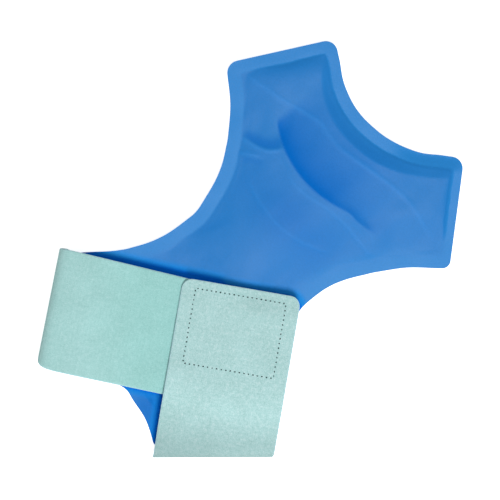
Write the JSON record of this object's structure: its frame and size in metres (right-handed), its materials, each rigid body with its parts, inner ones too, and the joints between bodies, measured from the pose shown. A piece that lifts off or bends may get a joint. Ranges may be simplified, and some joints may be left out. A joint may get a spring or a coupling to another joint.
{
  "type": "cold compression wrap",
  "caption": "Bow-tie shaped gel cold pack with welded films and a loop-elastic strap folded over each lower arm, held shut by a hook patch.",
  "frame": {"origin": "on the rest plane, under the centre of the bow-tie", "axes": "+Z out of the skin side, +Y along the long axis towards the two free wings, +X towards the right wing"},
  "size_m": [0.1947, 0.2863, 0.0166],
  "materials": {
    "blue_film": "satin",
    "cooling_gel": "glossy",
    "strap_fabric": "brushed",
    "hook_tape": "matte",
    "stitch_thread": "matte"
  },
  "bodies": {
    "root": {"front_film_lower": "blue_film", "gel_fill_lower": "cooling_gel", "back_film_lower": "blue_film", "outer_strap_sewn_end": "strap_fabric", "inner_strap_sewn_end": "strap_fabric", "outer_root_stitches": "stitch_thread", "inner_root_stitches": "stitch_thread", "outer_strap_fold": "strap_fabric", "inner_strap_fold": "strap_fabric"},
    "upper_half": {"front_film_upper": "blue_film", "gel_fill_upper": "cooling_gel", "back_film_upper": "blue_film"},
    "left_wing": {"front_film_left_wing": "blue_film", "gel_fill_left_wing": "cooling_gel", "back_film_left_wing": "blue_film"},
    "right_wing": {"front_film_right_wing": "blue_film", "gel_fill_right_wing": "cooling_gel", "back_film_right_wing": "blue_film"},
    "outer_strap": {"outer_strap_run": "strap_fabric"},
    "outer_strap_end": {"outer_strap_tip": "strap_fabric", "outer_hook_patch": "hook_tape", "outer_patch_stitches": "stitch_thread"},
    "inner_strap": {"inner_strap_run": "strap_fabric", "inner_strap_tip": "strap_fabric"}
  },
  "joints": [
    {"name": "outer_strap_open", "type": "hinge", "parent": "root", "child": "outer_strap", "pos_m": [0.06454, -0.10415, 0.00865], "axis": [0.7325, 0.6807, 0], "range_deg": [0, 175], "deforming": ["outer_strap_fold"]},
    {"name": "outer_end_peel", "type": "hinge", "parent": "outer_strap", "child": "outer_strap_end", "pos_m": [0.04263, -0.07027, 0.0163], "axis": [-0.8396, -0.5432, 0], "range_deg": [-140, 0]},
    {"name": "inner_strap_open", "type": "hinge", "parent": "root", "child": "inner_strap", "pos_m": [-0.07032, -0.10853, 0.00725], "axis": [0.5225, -0.8526, 0], "range_deg": [0, 175], "deforming": ["inner_strap_fold", "inner_strap_tip"]},
    {"name": "waist_fold", "type": "hinge", "parent": "root", "child": "upper_half", "pos_m": [0, 0.014, 0.011], "axis": [1, 0, 0], "range_deg": [0, 110]},
    {"name": "left_wing_fold", "type": "hinge", "parent": "upper_half", "child": "left_wing", "pos_m": [-0.06537, 0.04611, 0.011], "axis": [0.5764, 0.8171, 0], "range_deg": [0, 100]},
    {"name": "right_wing_fold", "type": "hinge", "parent": "upper_half", "child": "right_wing", "pos_m": [0.06537, 0.04611, 0.011], "axis": [0.5764, -0.8171, 0], "range_deg": [0, 100]}
  ]
}
